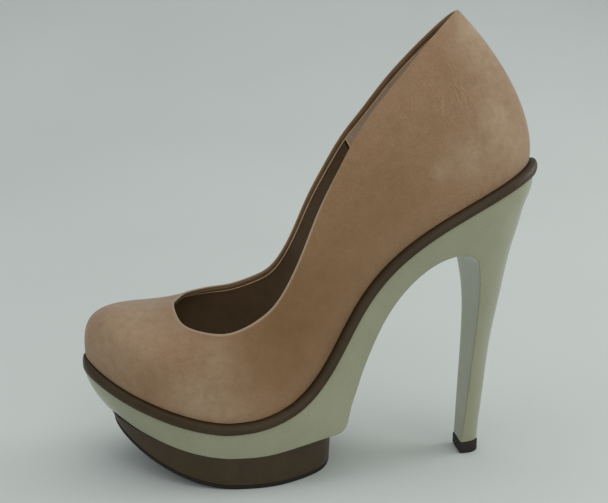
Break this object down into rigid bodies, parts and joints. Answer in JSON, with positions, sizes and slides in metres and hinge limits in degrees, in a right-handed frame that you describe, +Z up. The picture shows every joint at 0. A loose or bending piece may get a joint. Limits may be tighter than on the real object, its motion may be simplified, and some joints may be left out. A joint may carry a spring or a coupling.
{
  "type": "stiletto heel platform pump",
  "caption": "Left platform pump with a round closed toe, low throat, high curved back, wrapped rand, painted platform, shank bridge and slim stiletto heel.",
  "frame": {"origin": "on the floor under the ball of the foot, in the middle of the forepart's flat tread", "axes": "+X from toe to heel, +Y from the outer to the inner side of the left foot, +Z up"},
  "size_m": [0.2166, 0.0831, 0.2135],
  "materials": {
    "nubuck": "matt tan nubuck with a soft nap",
    "sock": "smooth brown lining leather",
    "wrapped_leather": "smooth brown leather, half gloss",
    "painted_unit": "pearl grey green lacquer, smooth and glossy",
    "block_leather": "dark brown leather cover, half gloss",
    "sole_rubber": "matt black rubber",
    "tip_rubber": "matt black rubber"
  },
  "bodies": {
    "root": {"upper": "nubuck", "insole": "sock", "rand": "wrapped_leather", "heel_platform": "painted_unit", "platform_block": "block_leather", "outsole": "sole_rubber", "heel_tip": "tip_rubber"}
  },
  "joints": []
}
